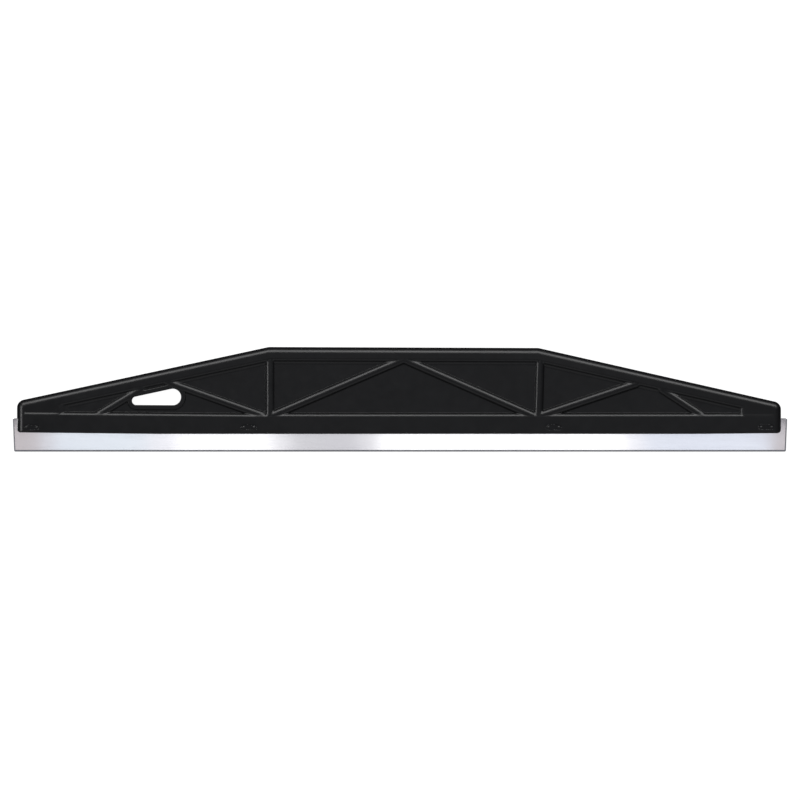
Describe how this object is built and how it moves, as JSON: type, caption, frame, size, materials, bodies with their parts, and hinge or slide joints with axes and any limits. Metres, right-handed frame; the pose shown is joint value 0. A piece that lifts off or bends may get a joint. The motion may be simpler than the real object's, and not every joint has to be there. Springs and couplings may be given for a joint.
{
  "type": "straight-edge trim guide",
  "caption": "Long straight-edge trim guide: thin steel blade held along the lower edge of a truss-ribbed black handle with a hang hole.",
  "frame": {"origin": "under the middle of the tool's bounding box, in the plane of the handle's back face that it lies on", "axes": "+X along the blade towards the end without the hang hole, +Y from the blade's straight edge to the handle's crown, +Z out of the front face"},
  "size_m": [0.6096, 0.0824, 0.01],
  "materials": {
    "handle_plastic": "satin, fine moulded grain",
    "blade_steel": "fine brushed, near mirror",
    "key_plastic": "semi gloss"
  },
  "bodies": {
    "root": {"handle": "handle_plastic", "blade": "blade_steel", "left_end_key": "key_plastic", "left_key": "key_plastic", "right_key": "key_plastic", "right_end_key": "key_plastic"}
  },
  "joints": []
}
